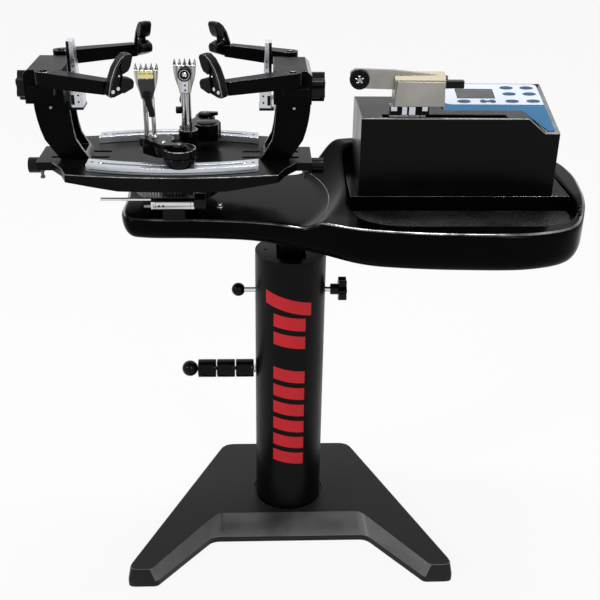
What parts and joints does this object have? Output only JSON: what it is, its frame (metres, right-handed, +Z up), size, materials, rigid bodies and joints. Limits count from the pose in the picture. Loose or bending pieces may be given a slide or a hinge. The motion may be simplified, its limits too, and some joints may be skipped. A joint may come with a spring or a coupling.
{
  "type": "racket stringing machine",
  "caption": "Floor-standing stringing machine: a turning table with frame supports and string clamps, and an electronic puller on a tool tray, on a column.",
  "frame": {"origin": "on the floor under the column's axis, in the middle of the foot's flat underside", "axes": "+X to the user's right, towards the tool tray; +Y away from the user; +Z up"},
  "size_m": [1.0491, 0.4484, 1.032],
  "materials": {
    "cast_black": "satin powder coat, black",
    "tube_black": "semi-gloss powder coat, black",
    "gloss_shell": "glossy moulded plastic, black",
    "matte_black": "fine-grained moulded plastic, black",
    "polished_steel": "polished plating",
    "silver_alloy": "satin anodised, cool silver",
    "stainless": "satin ground, slightly warm",
    "tray_mat": "pebbled rubber, dark grey",
    "panel_overlay": "printed polyester overlay, pale grey",
    "brass_insert": "satin brass",
    "display_glass": "tinted display window",
    "overlay_blue": "printed blue area and keys",
    "red_paint": "painted red stripes"
  },
  "bodies": {
    "stand": {"base_casting": "cast_black", "column_tube": "tube_black", "column_top_plate": "tube_black", "reel_spindle": "matte_black"},
    "height_lock": {"height_lock_knob": "matte_black"},
    "plunger": {"index_plunger": "polished_steel"},
    "roller_1": {"reel_roller_1": "matte_black"},
    "roller_2": {"reel_roller_2": "matte_black"},
    "roller_3": {"reel_roller_3": "matte_black"},
    "head": {"inner_post": "tube_black", "body_shell": "gloss_shell", "tray_mat": "tray_mat", "chassis_frame": "tube_black", "brake_barrel": "polished_steel", "tensioner_case": "tube_black", "control_panel": "panel_overlay", "tension_drive": "polished_steel", "power_inlet": "matte_black"},
    "brake_lever": {"brake_lever": "polished_steel"},
    "brake_knob": {"brake_knob": "matte_black"},
    "turntable": {"turntable_plate": "cast_black", "brake_ring": "matte_black", "front_glide_rail": "silver_alloy", "rear_glide_rail": "silver_alloy"},
    "left_tower": {"left_tower": "cast_black", "left_tower_head": "cast_black", "left_head_support": "silver_alloy"},
    "left_slide_knob": {"left_slide_knob": "matte_black"},
    "left_arm_knob": {"left_arm_knob": "matte_black"},
    "left_front_arm": {"left_front_arm": "tube_black", "left_front_jaw": "matte_black"},
    "left_rear_arm": {"left_rear_arm": "tube_black", "left_rear_jaw": "matte_black"},
    "right_tower": {"right_tower": "cast_black", "right_tower_head": "cast_black", "right_head_support": "silver_alloy"},
    "right_slide_knob": {"right_slide_knob": "matte_black"},
    "right_arm_knob": {"right_arm_knob": "matte_black"},
    "right_front_arm": {"right_front_arm": "tube_black", "right_front_jaw": "matte_black"},
    "right_rear_arm": {"right_rear_arm": "tube_black", "right_rear_jaw": "matte_black"},
    "front_clamp_base": {"front_clamp_base": "matte_black"},
    "front_lock_lever": {"front_lock_lever": "matte_black"},
    "front_swivel_arm": {"front_swivel_arm": "matte_black"},
    "front_clamp_post": {"front_clamp_post": "polished_steel"},
    "front_clamp_jaw": {"front_clamp_jaw": "polished_steel"},
    "front_clamp_lever": {"front_clamp_lever": "matte_black"},
    "front_clamp_knob": {"front_clamp_knob": "matte_black"},
    "rear_clamp_base": {"rear_clamp_base": "matte_black"},
    "rear_lock_lever": {"rear_lock_lever": "matte_black"},
    "rear_swivel_arm": {"rear_swivel_arm": "matte_black"},
    "rear_clamp_post": {"rear_clamp_post": "polished_steel"},
    "rear_clamp_jaw": {"rear_clamp_jaw": "polished_steel"},
    "rear_clamp_lever": {"rear_clamp_lever": "matte_black"},
    "rear_clamp_knob": {"rear_clamp_knob": "matte_black"},
    "carriage": {"gripper_carriage": "stainless"},
    "guide_roller": {"guide_roller": "matte_black"},
    "gripper_plate": {"gripper_plate": "stainless"},
    "gripper_handle": {"gripper_handle": "matte_black"}
  },
  "joints": [
    {"name": "head_height", "type": "slide", "parent": "stand", "child": "head", "axis": [0, 0, 1], "range_m": [0, 0.2]},
    {"name": "height_lock_turn", "type": "hinge", "parent": "stand", "child": "height_lock", "pos_m": [0.1, 0, 0.536], "axis": [1, 0, 0], "continuous": true},
    {"name": "plunger_pull", "type": "slide", "parent": "stand", "child": "plunger", "axis": [-1, 0, 0], "range_m": [0, 0.012], "stiffness_N_per_m": 300},
    {"name": "roller_1_spin", "type": "hinge", "parent": "stand", "child": "roller_1", "pos_m": [-0.0925, 0, 0.3536], "axis": [1, 0, 0], "continuous": true},
    {"name": "roller_2_spin", "type": "hinge", "parent": "stand", "child": "roller_2", "pos_m": [-0.1315, 0, 0.3536], "axis": [1, 0, 0], "continuous": true},
    {"name": "roller_3_spin", "type": "hinge", "parent": "stand", "child": "roller_3", "pos_m": [-0.1705, 0, 0.3536], "axis": [1, 0, 0], "continuous": true},
    {"name": "brake_lever_turn", "type": "hinge", "parent": "head", "child": "brake_lever", "pos_m": [-0.25, -0.102, 0.757], "axis": [1, 0, 0], "range_deg": [0, 45]},
    {"name": "brake_knob_turn", "type": "hinge", "parent": "head", "child": "brake_knob", "pos_m": [-0.167, -0.102, 0.7615], "axis": [1, 0, 0], "continuous": true},
    {"name": "turntable_spin", "type": "hinge", "parent": "head", "child": "turntable", "pos_m": [-0.214, 0, 0.8], "axis": [0, 0, 1], "continuous": true},
    {"name": "left_tower_slide", "type": "slide", "parent": "turntable", "child": "left_tower", "axis": [-1, 0, 0], "range_m": [-0.03, 0.015]},
    {"name": "left_slide_knob_turn", "type": "hinge", "parent": "turntable", "child": "left_slide_knob", "pos_m": [-0.474, 0, 0.795], "axis": [-1, 0, 0], "range_deg": [-1090, 550]},
    {"name": "left_front_arm_swing", "type": "hinge", "parent": "left_tower", "child": "left_front_arm", "pos_m": [-0.425, -0.082, 0.977], "axis": [0, 0, 1], "range_deg": [-6, 10]},
    {"name": "left_rear_arm_swing", "type": "hinge", "parent": "left_tower", "child": "left_rear_arm", "pos_m": [-0.425, 0.082, 0.977], "axis": [0, 0, -1], "range_deg": [-6, 10]},
    {"name": "left_arm_knob_turn", "type": "hinge", "parent": "left_tower", "child": "left_arm_knob", "pos_m": [-0.474, 0, 0.944], "axis": [-1, 0, 0], "range_deg": [-370, 610]},
    {"name": "right_tower_slide", "type": "slide", "parent": "turntable", "child": "right_tower", "axis": [1, 0, 0], "range_m": [-0.03, 0.015]},
    {"name": "right_slide_knob_turn", "type": "hinge", "parent": "turntable", "child": "right_slide_knob", "pos_m": [0.046, 0, 0.795], "axis": [1, 0, 0], "range_deg": [-1090, 550]},
    {"name": "right_front_arm_swing", "type": "hinge", "parent": "right_tower", "child": "right_front_arm", "pos_m": [-0.003, -0.082, 0.977], "axis": [0, 0, -1], "range_deg": [-6, 10]},
    {"name": "right_rear_arm_swing", "type": "hinge", "parent": "right_tower", "child": "right_rear_arm", "pos_m": [-0.003, 0.082, 0.977], "axis": [0, 0, 1], "range_deg": [-6, 10]},
    {"name": "right_arm_knob_turn", "type": "hinge", "parent": "right_tower", "child": "right_arm_knob", "pos_m": [0.046, 0, 0.944], "axis": [1, 0, 0], "range_deg": [-370, 610]},
    {"name": "front_base_slide", "type": "hinge", "parent": "turntable", "child": "front_clamp_base", "pos_m": [-0.214, 0.394, 0.83], "axis": [0, 0, 1], "range_deg": [-6.5, 9]},
    {"name": "front_lock_turn", "type": "hinge", "parent": "front_clamp_base", "child": "front_lock_lever", "pos_m": [-0.2, -0.1033, 0.87], "axis": [0, 0, 1], "range_deg": [-50, 0]},
    {"name": "front_swivel_turn", "type": "hinge", "parent": "front_clamp_base", "child": "front_swivel_arm", "pos_m": [-0.2, -0.1033, 0.864], "axis": [0, 0, 1], "range_deg": [-25, 30]},
    {"name": "front_post_turn", "type": "hinge", "parent": "front_swivel_arm", "child": "front_clamp_post", "pos_m": [-0.262, -0.04, 0.87], "axis": [0, 0, 1], "range_deg": [-45, 45]},
    {"name": "front_jaw_open", "type": "slide", "parent": "front_clamp_post", "child": "front_clamp_jaw", "axis": [0, -1, 0], "range_m": [0, 0.0016]},
    {"name": "front_lever_lift", "type": "hinge", "parent": "front_clamp_jaw", "child": "front_clamp_lever", "pos_m": [-0.262, -0.0554, 0.941], "axis": [-1, 0, 0], "range_deg": [0, 70]},
    {"name": "front_knob_turn", "type": "hinge", "parent": "front_clamp_post", "child": "front_clamp_knob", "pos_m": [-0.257, -0.026, 0.962], "axis": [0, 1, 0], "continuous": true},
    {"name": "rear_base_slide", "type": "hinge", "parent": "turntable", "child": "rear_clamp_base", "pos_m": [-0.214, -0.394, 0.83], "axis": [0, 0, 1], "range_deg": [-5, 10.5]},
    {"name": "rear_lock_turn", "type": "hinge", "parent": "rear_clamp_base", "child": "rear_lock_lever", "pos_m": [-0.165, 0.10108, 0.87], "axis": [0, 0, 1], "range_deg": [0, 50]},
    {"name": "rear_swivel_turn", "type": "hinge", "parent": "rear_clamp_base", "child": "rear_swivel_arm", "pos_m": [-0.165, 0.10108, 0.864], "axis": [0, 0, 1], "range_deg": [-30, 25]},
    {"name": "rear_post_turn", "type": "hinge", "parent": "rear_swivel_arm", "child": "rear_clamp_post", "pos_m": [-0.195, 0.025, 0.87], "axis": [0, 0, 1], "range_deg": [-45, 45]},
    {"name": "rear_jaw_open", "type": "slide", "parent": "rear_clamp_post", "child": "rear_clamp_jaw", "axis": [0, 1, 0], "range_m": [0, 0.0016]},
    {"name": "rear_lever_lift", "type": "hinge", "parent": "rear_clamp_jaw", "child": "rear_clamp_lever", "pos_m": [-0.195, 0.0404, 0.941], "axis": [1, 0, 0], "range_deg": [0, 70]},
    {"name": "rear_knob_turn", "type": "hinge", "parent": "rear_clamp_post", "child": "rear_clamp_knob", "pos_m": [-0.195, 0.011, 0.962], "axis": [0, -1, 0], "continuous": true},
    {"name": "carriage_pull", "type": "slide", "parent": "head", "child": "carriage", "axis": [1, 0, 0], "range_m": [0, 0.14]},
    {"name": "guide_roller_spin", "type": "hinge", "parent": "carriage", "child": "guide_roller", "pos_m": [0.117, -0.0353, 0.966], "axis": [0, 1, 0], "continuous": true},
    {"name": "plate_open", "type": "slide", "parent": "carriage", "child": "gripper_plate", "axis": [0, -1, 0], "range_m": [0, 0.0025]},
    {"name": "handle_turn", "type": "hinge", "parent": "carriage", "child": "gripper_handle", "pos_m": [0.29, -0.018, 0.9545], "axis": [1, 0, 0], "range_deg": [0, 60]}
  ],
  "couplings": [
    {"joint": "left_slide_knob_turn", "follows": "left_tower_slide", "rad_per_m": 628.32},
    {"joint": "left_rear_arm_swing", "follows": "left_front_arm_swing", "ratio": 1},
    {"joint": "left_arm_knob_turn", "follows": "left_front_arm_swing", "ratio": 60},
    {"joint": "right_slide_knob_turn", "follows": "right_tower_slide", "rad_per_m": 628.32},
    {"joint": "right_rear_arm_swing", "follows": "right_front_arm_swing", "ratio": 1},
    {"joint": "right_arm_knob_turn", "follows": "right_front_arm_swing", "ratio": 60},
    {"joint": "front_lever_lift", "follows": "front_jaw_open", "rad_per_m": 762.82},
    {"joint": "rear_lever_lift", "follows": "rear_jaw_open", "rad_per_m": 762.82},
    {"joint": "handle_turn", "follows": "plate_open", "rad_per_m": 418.46}
  ]
}
